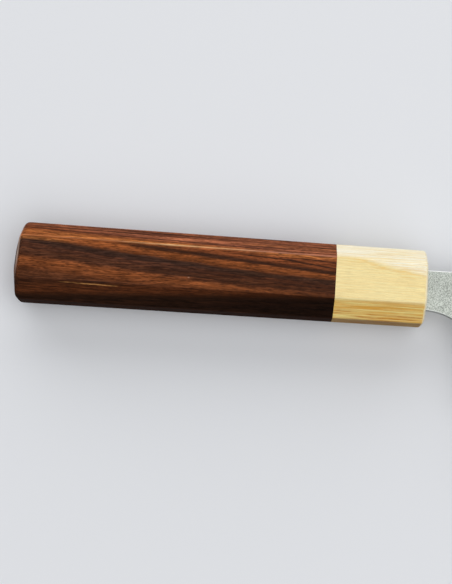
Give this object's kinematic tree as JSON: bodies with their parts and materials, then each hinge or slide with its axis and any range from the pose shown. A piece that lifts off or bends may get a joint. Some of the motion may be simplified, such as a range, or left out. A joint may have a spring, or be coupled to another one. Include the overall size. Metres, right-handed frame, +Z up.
{
  "type": "santoku knife",
  "caption": "Santoku kitchen knife with a clad steel blade, a curved choil and a tapered octagonal dark wood handle with a pale wood ferrule.",
  "frame": {"origin": "middle of the footprint, level with the lowest point of the handle as the knife lies on its left side", "axes": "+X from butt to tip, +Y from cutting edge to spine, +Z up, square to the blade's right side"},
  "size_m": [0.312, 0.0522, 0.0199],
  "materials": {
    "rosewood": "satin, dark bands and fine pores along the handle",
    "pale_wood": "satin, fine grain along the handle",
    "cured_adhesive": "hidden, matt",
    "core_steel": "ground and polished bevel",
    "cladding_steel": "pear-skin dimples above a satin ground bevel"
  },
  "bodies": {
    "root": {"handle_body": "rosewood", "ferrule": "pale_wood", "tang_bedding": "cured_adhesive", "core_steel": "core_steel", "right_cladding": "cladding_steel", "left_cladding": "cladding_steel"}
  },
  "joints": []
}
